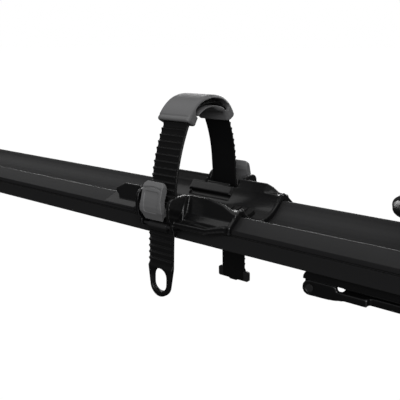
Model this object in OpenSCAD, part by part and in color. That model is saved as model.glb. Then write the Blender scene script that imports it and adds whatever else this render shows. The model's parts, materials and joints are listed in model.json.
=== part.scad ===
// Roof mounted bike carrier: an extruded rail clamped to two crossbars, with a
// sliding rear wheel holder and a folding front arm. X runs forward along the
// rail, Y to the far side and Z up. The origin is the middle of the rear
// crossbar seat.

/* [Rail] */
// Length of the rail
rail_length = 1450; // [1400:10:1500]
// How far the rail runs behind the rear crossbar
rear_overhang = 650; // [640:5:680]
// Width of the rail across its sides
rail_w = 92; // [90:0.5:95]
// Height of the rail from its underside to its ridges
rail_h = 27; // [26:0.25:30]
// Distance between the two ridges
ridge_w = 64.8; // [63:0.2:66]
// Height of the sloping shoulder beside each ridge
shoulder_h = 8.5; // [7.5:0.25:9.5]
// Depth of the wheel gutter
gutter_d = 15.5; // [13:0.25:16]
// Wall of the extrusion
rail_wall = 2.4; // [1.6:0.1:2.6]
// Height of the groove in each side
groove_h = 1.6; // [1.4:0.1:2.4]
// Depth of the groove in each side
groove_d = 2; // [1.5:0.1:2.5]

/* [Wheel holder] */
// Distance from the rear crossbar back to the strap
strap_to_seat = 248; // [230:1:270]
// Wall of the holder moulding
holder_wall = 2.5; // [2:0.1:3]
// Height of the side walls over the ridges
wall_top = 10.5; // [9:0.25:12]
// Gap between the two cheeks of a buckle
buckle_gap = 30.8; // [29.5:0.2:32]
// Thickness of a buckle cheek
cheek_t = 3.2; // [2.5:0.1:4]
// Width of the levers at their hinges
lever_w = 24; // [22:0.5:28]
// Diameter of the lever pins
lever_pin_d = 3; // [2.5:0.1:3.4]
// Diameter of the pawl pins
pawl_pin_d = 2.5; // [2:0.1:2.8]

/* [Strap] */
// Width of the strap
strap_w = 27; // [24:0.5:28]
// Thickness of the strap over its teeth
strap_t = 3.7; // [3:0.1:4.2]
// Height of a tooth
tooth_h = 1.9; // [1.2:0.1:2.1]
// Distance from tooth to tooth
tooth_pitch = 5.6; // [5:0.1:7]
// Width of the rim protector
protector_w = 34.5; // [33:0.5:37]
// Wall of the rim protector
protector_wall = 3; // [1.8:0.1:3.2]

/* [Crossbar clamps] */
// Distance between the two crossbars
bar_spacing = 600; // [560:5:640]
// Width of the widest crossbar
bar_w = 72; // [66:1:76]
// Height of the highest crossbar
bar_h = 26; // [20:0.5:30]
// Height of the clamp base
base_h = 9; // [8.5:0.25:11]
// Width of the clamp base
base_w = 76; // [70:1:84]
// How far the seat pad stands proud of the base
pad_proud = 2; // [1.5:0.1:3]
// Thickness of the lower jaw
jaw_t = 6; // [5:0.25:7]
// Diameter of the jaw pin
jaw_pin_d = 6; // [5:0.25:6.5]
// Diameter of the clamping bolt
clamp_bolt_d = 6; // [5:0.25:6.5]
// Diameter of the clamping knob
knob_d = 26; // [22:0.5:27]

/* [Front arm] */
// Distance from the rear crossbar forward to the middle of the cradle
cradle_x = 650; // [640:1:655]
// Length of the cradle
cradle_l = 190; // [180:1:200]
// Height of the arm pivot over the ridges
pivot_h = 24; // [22:0.5:27]
// Length of the arm from its pivot to its outer end
arm_length = 763; // [740:1:770]
// Length of the arm tube
tube_l = 370; // [340:1:400]
// Height of the arm tube
tube_h = 30; // [28:0.5:34]
// Width of the arm tube
tube_w = 20; // [18:0.5:22]
// Wall of the arm tube
tube_wall = 2.2; // [1.5:0.1:2.5]
// Diameter of the pivot axle
axle_d = 10; // [8:0.5:11]
// Diameter of the hook rod
hook_d = 9; // [7:0.25:10]
// Diameter of the chock hoop rod
hoop_d = 8; // [6:0.25:9]

/* [Fits] */
// Running clearance between the rail and what slides on it
slide_gap = 0.3; // [0.25:0.05:0.4]
// Clearance between a pin and its bore
pin_gap = 0.04; // [0.02:0.01:0.08]
// Clearance between faces that turn or slide past each other
face_gap = 0.3; // [0.2:0.05:0.5]

/* [Hidden] */
$fn = 48;

// Colours
black_plastic = [0.09, 0.09, 0.095];
black_metal = [0.13, 0.13, 0.135];
grey_plastic = [0.42, 0.42, 0.43];
rubber = [0.05, 0.05, 0.05];
steel = [0.62, 0.63, 0.65];

// Heights over the crossbar seat
rail_z = base_h + pad_proud;
ridge_z = rail_z + rail_h;
side_y = rail_w / 2;
ridge_y = ridge_w / 2;
rail_rear = -rear_overhang;
rail_front = rail_length - rear_overhang;

// Gutter arc through both ridges, measured over the ridges
gutter_r = (ridge_y * ridge_y + gutter_d * gutter_d) / (2 * gutter_d);
gutter_c = gutter_r - gutter_d;
groove_top = -12;
groove_bottom = groove_top - groove_h;

// T-slot under the rail
slot_w = 9;
slot_lip = 2.5;
slot_cavity_w = 16;
slot_cavity_h = 4.9;
port_y = 30;
port_z = 5.8;
port_d = 3.8;
screw_d = 3.4;

// Stretches of the strap from its top: radius and turn, or 0 and a length.
// The first number of each point runs away from the middle of the rail.
strap_top = 85.7;
strap_shift = 4.5;
near_route = [[42, -15], [26.3, -45], [150, -20], [70, -8], [0, 14], [80, 8], [0, 8],
    [60, -8], [0, 53]];
far_route = [[42, -15], [26.3, -45], [106, -24], [0, 24.2], [8, 52], [0, 7],
    [7, -50], [0, 10], [60, -6], [0, 74]];
near_start = [strap_shift, strap_top, 0];
far_start = [-strap_shift, strap_top, 0];
near_teeth = 28;
far_teeth = 35;
strap_base = strap_t - tooth_h;
near_tip = -78.6;
far_tip = -98;
protector_s = 35;
strap_gap = 0.75;
pull_r = 8;

// Buckles, measured outward from the middle and over the ridges
lever_pin_u = 56.2;
lever_pin_z = -2;
lever_hub_r = 3.2;
pawl_pin_u = 57.2;
pawl_pin_z = -14;
pawl_hub_r = 2.3;
cheek_x = buckle_gap / 2;
lever_half = lever_w / 2;
// Bowed section of a lever, down its outer side and back up the inner one
lever_bow = [[59.9, 24], [60.7, 23.4], [63.4, 20.5], [64.6, 17], [65.4, 14],
    [66.4, 10.8], [67, 7.5], [67.4, 3.3], [66.9, -0.4], [65, -3.9], [62.8, -8.4],
    [62, -8.4], [61.6, -3.8], [62.4, -0.6], [62.6, 1.5], [61.9, 4.2], [61, 7.7],
    [60, 10.8], [59.2, 13], [58, 15.8], [57.9, 18.8], [59, 22.8]];
lever_top = 24;
lever_bottom = -8.4;

// Holder plan, measured from the strap
holder_rear = -76;
holder_front = 67.5;
holder_side = side_y + slide_gap;
holder_out = holder_side + holder_wall;
channel_r = gutter_r - slide_gap - holder_wall - 0.4;
box_out = 60;
box_wall = 2;

// Clamp plan, measured from the crossbar
pin_x = -(bar_w / 2 + 80.2);
pin_z = -4.3;
nose_r = 6;
base_rear = pin_x - nose_r;
bolt_x = bar_w / 2 + 27;
base_front = bolt_x + 14;
jaw_w = 66;
tbolt_x = [-(bar_w / 2 + 39), bar_w / 2 + 10];
knuckle_y = 34.3;
arm_z = -7.7;
base_edge = 3;
ledge = 2.5;
ledge_h = 5.4;
slit_x = pin_x + 21.6;
tbolt_d = 6;
jaw_end_z = -8;
jaw_reach = bar_w / 2 + 4;
jaw_floor = -(bar_h + pad_proud);
knob_h = 21;
rib_w = 40;
nut_w = 13;
nut_h = 4.9;

// Arm plan
pivot_x = cradle_x + 45;
pivot_z = ridge_z + pivot_h;
cradle_side = side_y + slide_gap;
cradle_out = cradle_side + 4;
trough_r = 38;
boss_in = 41.5;
boss_out = cradle_out + 1.2;
hub_in = boss_out + face_gap;
hub_w = 22;
hub_r = 17;
bush_r = axle_d / 2 + 1.8;
arm_y = hub_in + hub_w / 2;
bar_hi = tube_h - 2 * tube_wall - 0.8;
bar_wi = tube_w - 2 * tube_wall - 0.8;
arm_out = -arm_length + hook_d / 2;
housing_l = 50;
bar_wall = 2.6;
tooth_step = 9;

// Extrudes a Y-Z outline along X
module along_x(from, size) {
    translate([from, 0, 0]) rotate([90, 0, 90]) linear_extrude(size) children();
}

// Extrudes an X-Z outline along Y
module along_y(from, size) {
    translate([0, from + size, 0]) rotate([90, 0, 0]) linear_extrude(size) children();
}

module rod_x(p, d, l) {
    translate(p) rotate([0, 90, 0]) cylinder(h = l, d = d);
}

module rod_y(p, d, l) {
    translate(p) rotate([-90, 0, 0]) cylinder(h = l, d = d);
}

// Rectangle from corner to corner with round corners
module rounded(a, b, r) {
    translate([a.x + r, a.y]) square([b.x - a.x - 2 * r, b.y - a.y]);
    translate([a.x, a.y + r]) square([b.x - a.x, b.y - a.y - 2 * r]);
    for (x = [a.x + r, b.x - r], z = [a.y + r, b.y - r])
        translate([x, z]) circle(r);
}

module box(a, b) {
    translate(a) cube(b - a);
}

// Point and heading reached after a length s of one stretch
function after(p, st, s) = st[0] == 0
    ? [p[0] + s * cos(p[2]), p[1] + s * sin(p[2]), p[2]]
    : let (side = sign(st[1]), t = side * s / st[0] * 180 / PI, r = side * st[0])
        [p[0] + r * (sin(p[2] + t) - sin(p[2])),
         p[1] - r * (cos(p[2] + t) - cos(p[2])), p[2] + t];

function stretch_l(st) = st[0] == 0 ? st[1] : st[0] * abs(st[1]) * PI / 180;

function route_l(route, i = 0) =
    i == len(route) ? 0 : stretch_l(route[i]) + route_l(route, i + 1);

// Point and heading at a length s along a route
function at(route, p, s, i = 0) =
    s <= stretch_l(route[i]) || i == len(route) - 1 ? after(p, route[i], s)
    : at(route, after(p, route[i], stretch_l(route[i])), s - stretch_l(route[i]), i + 1);

// The same point moved outward from the middle line of the strap
function beside(p, d) = [p[0] - d * sin(p[2]), p[1] + d * cos(p[2])];

// Rail section

module rail_outline() {
    difference() {
        polygon([[-side_y + 1, 0], [side_y - 1, 0], [side_y, rail_h - shoulder_h],
            [ridge_y, rail_h], [-ridge_y, rail_h], [-side_y, rail_h - shoulder_h]]);
        translate([0, rail_h + gutter_c]) circle(gutter_r, $fn = 96);
    }
}

module rail_section() {
    groove_z = rail_h + groove_bottom;
    difference() {
        rail_outline();
        for (s = [-1, 1]) scale([s, 1]) {
            translate([side_y - groove_d, groove_z]) square([groove_d + 1, groove_h]);
            difference() {
                polygon([[slot_cavity_w / 2 + rail_wall, rail_wall],
                    [side_y - 1 - rail_wall, rail_wall],
                    [side_y - rail_wall, rail_h - shoulder_h - rail_wall / 2],
                    [ridge_y, rail_h - rail_wall * 1.3],
                    [slot_cavity_w / 2 + rail_wall, rail_h]]);
                translate([0, rail_h + gutter_c]) circle(gutter_r + rail_wall, $fn = 96);
                translate([side_y - groove_d - rail_wall, groove_z - rail_wall])
                    square([groove_d + rail_wall, groove_h + 2 * rail_wall]);
                translate([port_y, port_z]) circle(d = port_d + 4);
                translate([port_y - 1.5, 0]) square([3, port_z]);
            }
            translate([port_y, port_z]) circle(d = port_d);
        }
        translate([-slot_w / 2, -1]) square([slot_w, slot_lip + 2]);
        translate([-slot_cavity_w / 2, slot_lip]) square([slot_cavity_w, slot_cavity_h]);
    }
}

module rail() {
    color(black_metal) translate([0, 0, rail_z]) difference() {
        along_x(rail_rear, rail_length) rail_section();
        for (x = cradle_screw_x(), s = [-1, 1])
            rod_y([x, s * side_y - 6, rail_h - 20.5], 4.2, 12);
    }
}

// End caps: s is the end they point to

cap_t = 5;
cap_plug = 12;

module end_cap(x, s) {
    color(black_plastic) translate([x, 0, rail_z]) scale([s, 1, 1]) difference() {
        union() {
            along_x(0, cap_t) rail_outline();
            for (y = [-1, 1]) scale([1, y, 1])
                box([-cap_plug, 13, rail_wall + face_gap], [0.5, 20, 8.5]);
        }
        for (y = [-port_y, port_y]) {
            rod_x([-1, y, port_z], screw_d + 0.4, cap_t + 2);
            rod_x([cap_t - 1.6, y, port_z], 7.4, 3);
        }
    }
}

module rear_end_cap() end_cap(rail_rear, -1);

module front_end_cap() end_cap(rail_front, 1);

module end_cap_screw(x, s, y) {
    translate([x, y, rail_z + port_z]) scale([s, 1, 1]) {
        rod_x([-16, 0, 0], screw_d, 16 + cap_t - 1.6);
        difference() {
            rod_x([cap_t - 1.6, 0, 0], 6.6, 2.4);
            translate([cap_t - 0.6, 0, 0]) rotate([0, 90, 0]) cylinder(h = 3, d = 3, $fn = 6);
        }
    }
}

module end_cap_screws() {
    color(steel) for (y = [-port_y, port_y]) {
        end_cap_screw(rail_rear, -1, y);
        end_cap_screw(rail_front, 1, y);
    }
}

// Crossbar clamps

module clamp_base() {
    color(black_plastic) difference() {
        union() {
            intersection() {
                along_y(-base_w / 2, base_w) {
                    translate([base_rear + 9, pad_proud])
                        square([base_front - base_rear - 13, base_h]);
                    intersection() {
                        translate([base_rear + 9, rail_z - 9]) circle(9);
                        translate([base_rear, pad_proud]) square([20, base_h]);
                    }
                    translate([base_front - base_h / 2, pad_proud + base_h / 2])
                        circle(d = base_h);
                }
                // Long edges rounded underneath, with a ledge along each side
                along_x(base_rear - 1, base_front - base_rear + 2) {
                    rounded([-base_w / 2, pad_proud], [base_w / 2, rail_z + 10], base_edge);
                    rounded([-base_w / 2 - ledge, pad_proud],
                        [base_w / 2 + ledge, pad_proud + ledge_h], ledge_h / 2 - 0.1);
                }
            }
            // Skirts between the base and the arm of the jaw
            for (s = [-1, 1]) scale([1, s, 1])
                box([slit_x + 2.4, 29, arm_z + 5.9 + face_gap],
                    [-jaw_reach - jaw_t - 1, 31.5, pad_proud + 1]);
            // Lugs for the jaw pin, behind the flanges of the jaw
            for (s = [-1, 1]) scale([1, s, 1]) along_y(22, knuckle_y - face_gap - 22) {
                translate([pin_x, pin_z]) circle(nose_r);
                translate([pin_x - nose_r, pin_z]) square([2 * nose_r + 6, 5 + pad_proud]);
            }
        }
        rod_y([pin_x, -base_w, pin_z], jaw_pin_d + 2 * pin_gap, 2 * base_w);
        box([-bar_w / 2, -base_w, -1], [bar_w / 2, base_w, 2 * pad_proud]);
        for (x = tbolt_x) {
            translate([x, 0, -1]) cylinder(h = 20, d = tbolt_d + 0.6);
            translate([x, 0, -1]) cylinder(h = pad_proud + 6, d = 14.5);
        }
        translate([bolt_x, 0, -1]) cylinder(h = 20, d = clamp_bolt_d + 1.4);
        box([bolt_x - nut_w / 2 - 0.1, -nut_w / 2 - 0.1, rail_z - nut_h - 0.1],
            [bolt_x + nut_w / 2 + 0.1, nut_w / 2 + 0.1, rail_z + 1]);
    }
}

module seat_pad() {
    color(rubber) difference() {
        box([-bar_w / 2, -base_w / 2 + 2, 0], [bar_w / 2, base_w / 2 - 2, 2 * pad_proud]);
        for (x = [-28 : 8 : 28]) box([x - 0.8, -base_w, -1], [x + 0.8, base_w, 0.7]);
    }
}

module tbolts() {
    color(steel) for (x = tbolt_x) {
        translate([x, 0, pad_proud + 1.5]) cylinder(h = rail_z + slot_lip - pad_proud - 1, d = tbolt_d);
        box([x - 7, -slot_cavity_w / 2 + 0.4, rail_z + slot_lip + 0.2],
            [x + 7, slot_cavity_w / 2 - 0.4, rail_z + slot_lip + slot_cavity_h - 0.5]);
    }
}

module clamp_nuts() {
    color(steel) for (x = tbolt_x) difference() {
        union() {
            translate([x, 0, pad_proud + 0.4]) cylinder(h = 4, d = 11.5, $fn = 6);
            translate([x, 0, pad_proud + 3.9]) cylinder(h = 1.1, d = 13);
        }
        translate([x, 0, pad_proud]) cylinder(h = 8, d = tbolt_d);
    }
}

module jaw_outline() {
    translate([pin_x + 25, arm_z]) square([-pin_x - 25 - jaw_reach, 5.9]);
    difference() {
        union() {
            rounded([-jaw_reach - jaw_t, jaw_floor - jaw_t],
                [jaw_reach + jaw_t, jaw_end_z], 11);
            translate([-jaw_reach - jaw_t, -16]) square([jaw_t, 14.2]);
            translate([jaw_reach, jaw_end_z - jaw_t]) square([base_front - jaw_reach, jaw_t]);
        }
        translate([-jaw_reach, jaw_floor]) square([2 * jaw_reach, 60]);
    }
}

// Side flange of the jaw, seen from the side, round the jaw pin
module jaw_flange() {
    top = pad_proud - face_gap;
    translate([pin_x, pin_z]) circle(nose_r);
    translate([slit_x - 2.5, top - 2.5]) circle(2.5);
    polygon([[pin_x, pin_z - nose_r], [slit_x - 3, pin_z - nose_r + 0.8],
        [slit_x + 6, arm_z], [slit_x + 6, -1.8], [slit_x, -1.8], [slit_x, top - 2.5],
        [slit_x - 2.5, top], [pin_x, top]]);
}

module jaw_body() {
    color(black_plastic) difference() {
        union() {
            intersection() {
                along_y(-jaw_w / 2, jaw_w) jaw_outline();
                along_x(-200, 400) rounded([-jaw_w / 2, -60], [jaw_w / 2, 5.5], 3);
            }
            along_y(-base_w / 2, base_w) translate([slit_x + 3, arm_z]) square([20, 5.9]);
            for (s = [-1, 1]) scale([1, s, 1])
                along_y(knuckle_y, base_w / 2 - knuckle_y) jaw_flange();
            // Rib under the base
            box([slit_x + 2.2, -rib_w / 2, arm_z], [-jaw_reach, rib_w / 2, pad_proud - face_gap]);
        }
        rod_y([pin_x, -base_w, pin_z], jaw_pin_d + 2 * pin_gap, 2 * base_w);
        translate([bolt_x, 0, -30]) cylinder(h = 40, d = clamp_bolt_d + 0.6);
        for (s = [-1, 1]) scale([1, s, 1]) translate([0, 0, jaw_floor - jaw_t - 1])
            box([-bar_w / 2 + 8, 12, 0], [bar_w / 2 - 8, jaw_w / 2 - 6, 3.5]);
    }
}

module jaw_pad() {
    color(rubber) difference() {
        box([-bar_w / 2 - 2, -jaw_w / 2 + 1, jaw_floor], [bar_w / 2 + 2, jaw_w / 2 - 1, -bar_h]);
        for (x = [-28 : 8 : 28]) box([x - 0.8, -jaw_w, -bar_h - 0.7], [x + 0.8, jaw_w, 0]);
    }
}

module jaw_pin() {
    color(steel) rod_y([pin_x, -base_w / 2 + 0.3, pin_z], jaw_pin_d, base_w - 0.6);
}

module clamp_bolt() {
    color(steel) {
        translate([bolt_x, 0, jaw_end_z - jaw_t - knob_h + 4])
            cylinder(h = rail_z - 1.5 - jaw_end_z + jaw_t + knob_h - 4, d = clamp_bolt_d);
        translate([bolt_x, 0, jaw_end_z + 0.1]) cylinder(h = 1.4, d = clamp_bolt_d + 4.5);
    }
}

module clamp_knob() {
    knob_top = jaw_end_z - jaw_t - 0.1;
    color(black_plastic) translate([bolt_x, 0, knob_top - knob_h]) difference() {
        union() {
            cylinder(h = knob_h - 4, d = knob_d);
            translate([0, 0, knob_h - 5]) cylinder(h = 5, d = knob_d - 9);
        }
        for (a = [0 : 60 : 359]) rotate(a) translate([knob_d / 2 + 2.2, 0, -1])
            cylinder(h = knob_h - 5, d = 9);
        translate([0, 0, 4 - 0.1]) cylinder(h = knob_h, d = clamp_bolt_d);
    }
}

module bolt_nut() {
    color(steel) difference() {
        box([bolt_x - nut_w / 2, -nut_w / 2, rail_z - nut_h],
            [bolt_x + nut_w / 2, nut_w / 2, rail_z - 0.1]);
        translate([bolt_x, 0, 0]) cylinder(h = 30, d = clamp_bolt_d + 1.4);
    }
}

module rear_clamp_base() clamp_base();
module rear_seat_pad() seat_pad();
module rear_tbolts() tbolts();
module rear_clamp_nuts() clamp_nuts();
module rear_jaw() jaw_body();
module rear_jaw_pad() jaw_pad();
module rear_jaw_pin() jaw_pin();
module rear_clamp_bolt() clamp_bolt();
module rear_clamp_knob() clamp_knob();
module rear_bolt_nut() bolt_nut();

// The front clamp runs a hair under the rail
module at_front() translate([bar_spacing, 0, -0.1]) children();

module front_clamp_base() at_front() clamp_base();
module front_seat_pad() at_front() seat_pad();
module front_tbolts() at_front() tbolts();
module front_clamp_nuts() at_front() clamp_nuts();
module front_jaw() at_front() jaw_body();
module front_jaw_pad() at_front() jaw_pad();
module front_jaw_pin() at_front() jaw_pin();
module front_clamp_bolt() at_front() clamp_bolt();
module front_clamp_knob() at_front() clamp_knob();
module front_bolt_nut() at_front() bolt_nut();

// Wheel holder, drawn from the strap and the ridges

module at_holder() translate([-strap_to_seat, 0, ridge_z]) children();

// Space that the rail takes under a moulding
module rail_space(gap) {
    difference() {
        polygon([[-side_y - gap, -60], [side_y + gap, -60],
            [side_y + gap, -shoulder_h + gap / 2], [ridge_y + gap / 2, gap],
            [-ridge_y - gap / 2, gap], [-side_y - gap, -shoulder_h + gap / 2]]);
        translate([0, gutter_c]) circle(gutter_r - gap, $fn = 96);
    }
}

// Skin of the moulding over the rail's shoulders
module holder_skin() {
    difference() {
        polygon([[-holder_out, -15.6], [holder_out, -15.6], [holder_out, -shoulder_h + 1.2],
            [ridge_y + 2, 3.4], [-ridge_y - 2, 3.4], [-holder_out, -shoulder_h + 1.2]]);
        translate([0, gutter_c]) circle(channel_r, $fn = 96);
    }
}

// Steep side walls that stand on the skin
module holder_walls() {
    difference() {
        polygon([[-43.6, -5], [43.6, -5], [39, wall_top], [-39, wall_top]]);
        translate([0, gutter_c]) circle(channel_r, $fn = 96);
        translate([-36.8, 4]) square([73.6, 20]);
    }
}

// Side view of the holder's top edge: the near wall runs further forward
module holder_side_view(near) {
    front = near ? [[38, wall_top], [53, 8], [61.5, 4.6], [64.5, 3.4]]
        : [[47, wall_top], [53, 8], [58, 4.2], [62, 3.4]];
    polygon(concat([[-54.7, -6], [-66.6, 3], [-66.6, 5.5], [-56.4, wall_top]], front,
        [[holder_front, 3.4], [holder_front, -6]]));
}

// Plan of the box beside each front wall, from the cheek to the front edge
module box_plan(wall) {
    polygon([[cheek_x + wall, 38], [cheek_x + wall, box_out - wall], [46, box_out - 5.5 - wall],
        [61.5 - wall, 49.5 - wall], [64.6 - 2 * wall, holder_out - wall], [64.6 - 2 * wall, 38]]);
}

// Side view of that box under its rim
module box_side_view() {
    polygon([[cheek_x, -8], [46, -10], [61.5, -6.4], [64.6, -5.8], [64.6, -12],
        [46, -15], [38, -15.6], [cheek_x, -15.6]]);
}

module front_box() {
    difference() {
        intersection() {
            translate([0, 0, -20]) linear_extrude(30) box_plan(0);
            along_y(38, 40) box_side_view();
            // Underside that slopes in towards the rail
            along_x(0, 80) polygon([[38, 10], [box_out + 1, 10], [box_out + 1, -11],
                [holder_out, -15.6], [38, -15.6]]);
        }
        // Floor that slopes down and outward
        intersection() {
            translate([0, 0, -20]) linear_extrude(30) box_plan(box_wall);
            along_x(0, 80) polygon([[38, 10], [38, -3.6], [44, -5.4], [50.5, -9.4],
                [box_out, -11.4], [box_out, 10]]);
        }
    }
}

// Lowered shoulder that the strap and the levers need, over the outer side
module shoulder_cut() {
    polygon([[30, 40], [30, 5.4], [33.2, 2.9], [46.9, -5.6], [holder_out - 0.4, -8.2],
        [holder_out - 0.4, -20], [60, -20], [60, 40]]);
}

// drop is how much lower the top of the front cheek is
module cheek_outline(drop) {
    difference() {
        union() {
            translate([36, -16.5]) square([17, 26 - drop]);
            translate([44, 8 - drop]) circle(7.5);
            translate([44, 6 - drop]) square([13.6, 9.5]);
            translate([52, -13]) square([8.6, 20 - drop]);
            translate([57.6, 8 - drop]) circle(7.5);
            translate([56, -3.5]) square([9.1, 11.5 - drop]);
            translate([59.9, -3.5]) circle(5.2);
            translate([52, -12]) circle(5.5);
            translate([56.6, -12.4]) circle(4.6);
        }
        polygon([[30, 10], [30, -30], [holder_side + 0.6, -30],
            [holder_side + 0.6, -shoulder_h + 0.6], [ridge_y + 1, 1.2]]);
    }
}

module holder_body() {
    color(black_plastic) at_holder() difference() {
        union() {
            difference() {
                union() {
                    intersection() {
                        along_x(holder_rear, holder_front - holder_rear) holder_skin();
                        box([-100, -60, -20], [100, 60, 3.4]);
                        // Rear edge that slants back towards the foot
                        along_y(-60, 120) polygon([[holder_rear, -17], [holder_rear, -8],
                            [-67.5, 3.4], [holder_front, 3.4], [holder_front, -17]]);
                    }
                    intersection() {
                        along_x(holder_rear, holder_front - holder_rear) holder_walls();
                        union() {
                            along_y(-60, 60) holder_side_view(true);
                            along_y(0, 60) holder_side_view(false);
                        }
                    }
                }
                // Lowered shoulders under the levers
                along_x(-37, 37 + cheek_x) mirror([1, 0]) shoulder_cut();
                along_x(-19, 19 + cheek_x) shoulder_cut();
                // Skirt ends higher towards the rear and the front
                for (s = [-1, 1]) scale([1, s, 1]) along_y(43, 20)
                    polygon([[-90, -7.5], [-40, -8.6], [-22, -15.8], [-22, -30],
                        [-90, -30]]);
                for (s = [-1, 1]) scale([1, s, 1]) along_y(43, 20)
                    polygon([[38, -15.7], [59, -11], [90, -11], [90, -30], [38, -30]]);
            }
            // Boxes that carry the front cheeks
            for (s = [-1, 1]) scale([1, s, 1]) front_box();
            // Hoop edge at the front
            intersection() {
                along_x(64.5, 3) difference() {
                    polygon([[-holder_out - 1.2, -11], [holder_out + 1.2, -11],
                        [holder_out + 1.2, -6.4], [ridge_y + 2.6, 4.6], [-ridge_y - 2.6, 4.6],
                        [-holder_out - 1.2, -6.4]]);
                    translate([0, gutter_c]) circle(channel_r - 1, $fn = 96);
                }
                box([0, -60, -20], [80, 60, 20]);
            }
            // Cheeks of both buckles
            for (s = [-1, 1]) scale([1, s, 1]) {
                along_x(-cheek_x - cheek_t, cheek_t) cheek_outline(0);
                along_x(cheek_x, cheek_t) cheek_outline(3.5);
            }
            // Runners in the rail's grooves
            for (s = [-1, 1]) scale([1, s, 1])
                box([-20, side_y - groove_d + slide_gap, groove_bottom + slide_gap],
                    [46, holder_side + 1, groove_top - slide_gap]);
        }
        difference() {
            along_x(-90, 180) rail_space(slide_gap);
            for (s = [-1, 1]) scale([1, s, 1])
                box([-20, side_y - groove_d + slide_gap, groove_bottom + slide_gap],
                    [46, holder_side + 1, groove_top - slide_gap]);
        }
        for (s = [-1, 1]) scale([1, s, 1]) {
            rod_x([-30, lever_pin_u, lever_pin_z], lever_pin_d + 2 * pin_gap, 60);
            rod_x([-30, pawl_pin_u, pawl_pin_z], pawl_pin_d + 2 * pin_gap, 60);
        }
        // Recess for the rubber tread
        box([-48, -14, gutter_c - channel_r - 0.2], [50, 14, 0]);
    }
}

module holder_tread() {
    tread_z = gutter_c - channel_r - 0.2;
    color(rubber) at_holder() difference() {
        intersection() {
            along_x(-47.5, 97) difference() {
                polygon([[-13.6, tread_z + 0.02], [13.6, tread_z + 0.02],
                    [13.6, 4], [-13.6, 4]]);
                translate([0, gutter_c]) circle(channel_r - 2.4, $fn = 96);
            }
            box([-60, -20, -30], [60, 20, 10]);
        }
        for (x = [-42 : 7 : 44]) box([x, -20, tread_z + 1.6], [x + 1.6, 20, 10]);
    }
}

// Strap

function tooth(base) = [[0.04 * tooth_pitch, base], [0.28 * tooth_pitch, strap_t / 2],
    [0.5 * tooth_pitch, strap_t / 2], [tooth_pitch, base]];

function toothed(route, start, teeth) =
    [for (i = [0 : teeth - 1], t = tooth(-strap_t / 2 + strap_base))
        beside(at(route, start, i * tooth_pitch + t[0]), t[1])];

function smooth_side(route, start, s0, s1, d, n) =
    [for (i = [0 : n]) beside(at(route, start, s0 + (s1 - s0) * i / n), d)];

function side_points(route, start, teeth) = concat(
    [beside(start, -strap_t / 2 + strap_base)],
    toothed(route, start, teeth),
    smooth_side(route, start, teeth * tooth_pitch, route_l(route), strap_t / 2, 12),
    [for (i = [44 : -1 : 0])
        beside(at(route, start, route_l(route) * i / 44), -strap_t / 2)]);

module strap_outline() {
    near = side_points(near_route, near_start, near_teeth);
    far = side_points(far_route, far_start, far_teeth);
    polygon([for (p = near) [-p[0], p[1]]]);
    polygon(far);
}

// Front view of the strap with its two ends
module strap_front(near) {
    w = strap_w / 2;
    taper_z = near_tip + 26.6;
    if (near) {
        translate([-w, taper_z]) square([strap_w, 2 * strap_top]);
        polygon([[-w, taper_z], [w, taper_z], [w - 2.5, near_tip + w - 2.5],
            [-w + 2.5, near_tip + w - 2.5]]);
        translate([0, near_tip + w - 2.5]) circle(w - 2.5);
    } else {
        translate([-w, far_tip + 4]) square([strap_w, 3 * strap_top]);
        rounded([-w - 4.5, far_tip], [w + 4.5, far_tip + 10], 1.5);
    }
}

module strap() {
    color(rubber) at_holder() difference() {
        union() {
            intersection() {
                along_x(-20, 40) strap_outline();
                along_y(-70, 70 - strap_shift) strap_front(true);
            }
            intersection() {
                along_x(-20, 40) strap_outline();
                along_y(-strap_shift, 80) strap_front(false);
            }
        }
        // Pull hole in the near end
        along_y(-80, 60) {
            translate([0, near_tip + 4.5 + pull_r]) circle(pull_r);
            translate([0, near_tip + 28 - pull_r]) circle(pull_r);
            translate([-pull_r, near_tip + 4.5 + pull_r]) square([2 * pull_r, 23.5 - 2 * pull_r]);
        }
    }
}

function band(route, start, s1, d, n) =
    [for (i = [0 : n]) beside(at(route, start, s1 * i / n), d)];

module sleeve_outline(inner, outer, s1) {
    near_out = band(near_route, near_start, s1, outer, 12);
    near_in = band(near_route, near_start, s1, inner, 12);
    far_out = band(far_route, far_start, s1, outer, 12);
    far_in = band(far_route, far_start, s1, inner, 12);
    polygon(concat([for (i = [12 : -1 : 0]) [-near_out[i][0], near_out[i][1]]],
        [for (i = [1 : 12]) far_out[i]], [for (i = [12 : -1 : 0]) far_in[i]],
        [for (i = [1 : 12]) [-near_in[i][0], near_in[i][1]]]));
}

module rim_protector() {
    reach = strap_t / 2 + strap_gap;
    window = protector_s - 10;
    // Slit that frees the inner tongue at the near side
    slit = [for (q = [[window - 1, -reach - protector_wall - 1], [window + 2.6,
        -reach - protector_wall - 1], [window + 1.6, -reach + 0.1], [window - 1, -reach + 0.1]])
        beside(at(near_route, near_start, q[0]), q[1])];
    color(grey_plastic) at_holder() difference() {
        along_x(-protector_w / 2, protector_w)
            sleeve_outline(-reach - protector_wall, reach + protector_wall, protector_s);
        along_x(-strap_w / 2 - strap_gap, strap_w + 2 * strap_gap)
            sleeve_outline(-reach, reach, protector_s + 1);
        along_x(-protector_w, 2 * protector_w)
            sleeve_outline(-reach - 0.8, reach + 0.2, window);
        along_x(-protector_w, 2 * protector_w) polygon([for (p = slit) [-p[0], p[1]]]);
    }
}

// Buckle levers and pawls, drawn for the far side and mirrored for the near one

module at_buckle(s) at_holder() scale([1, s, 1]) children();

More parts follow.
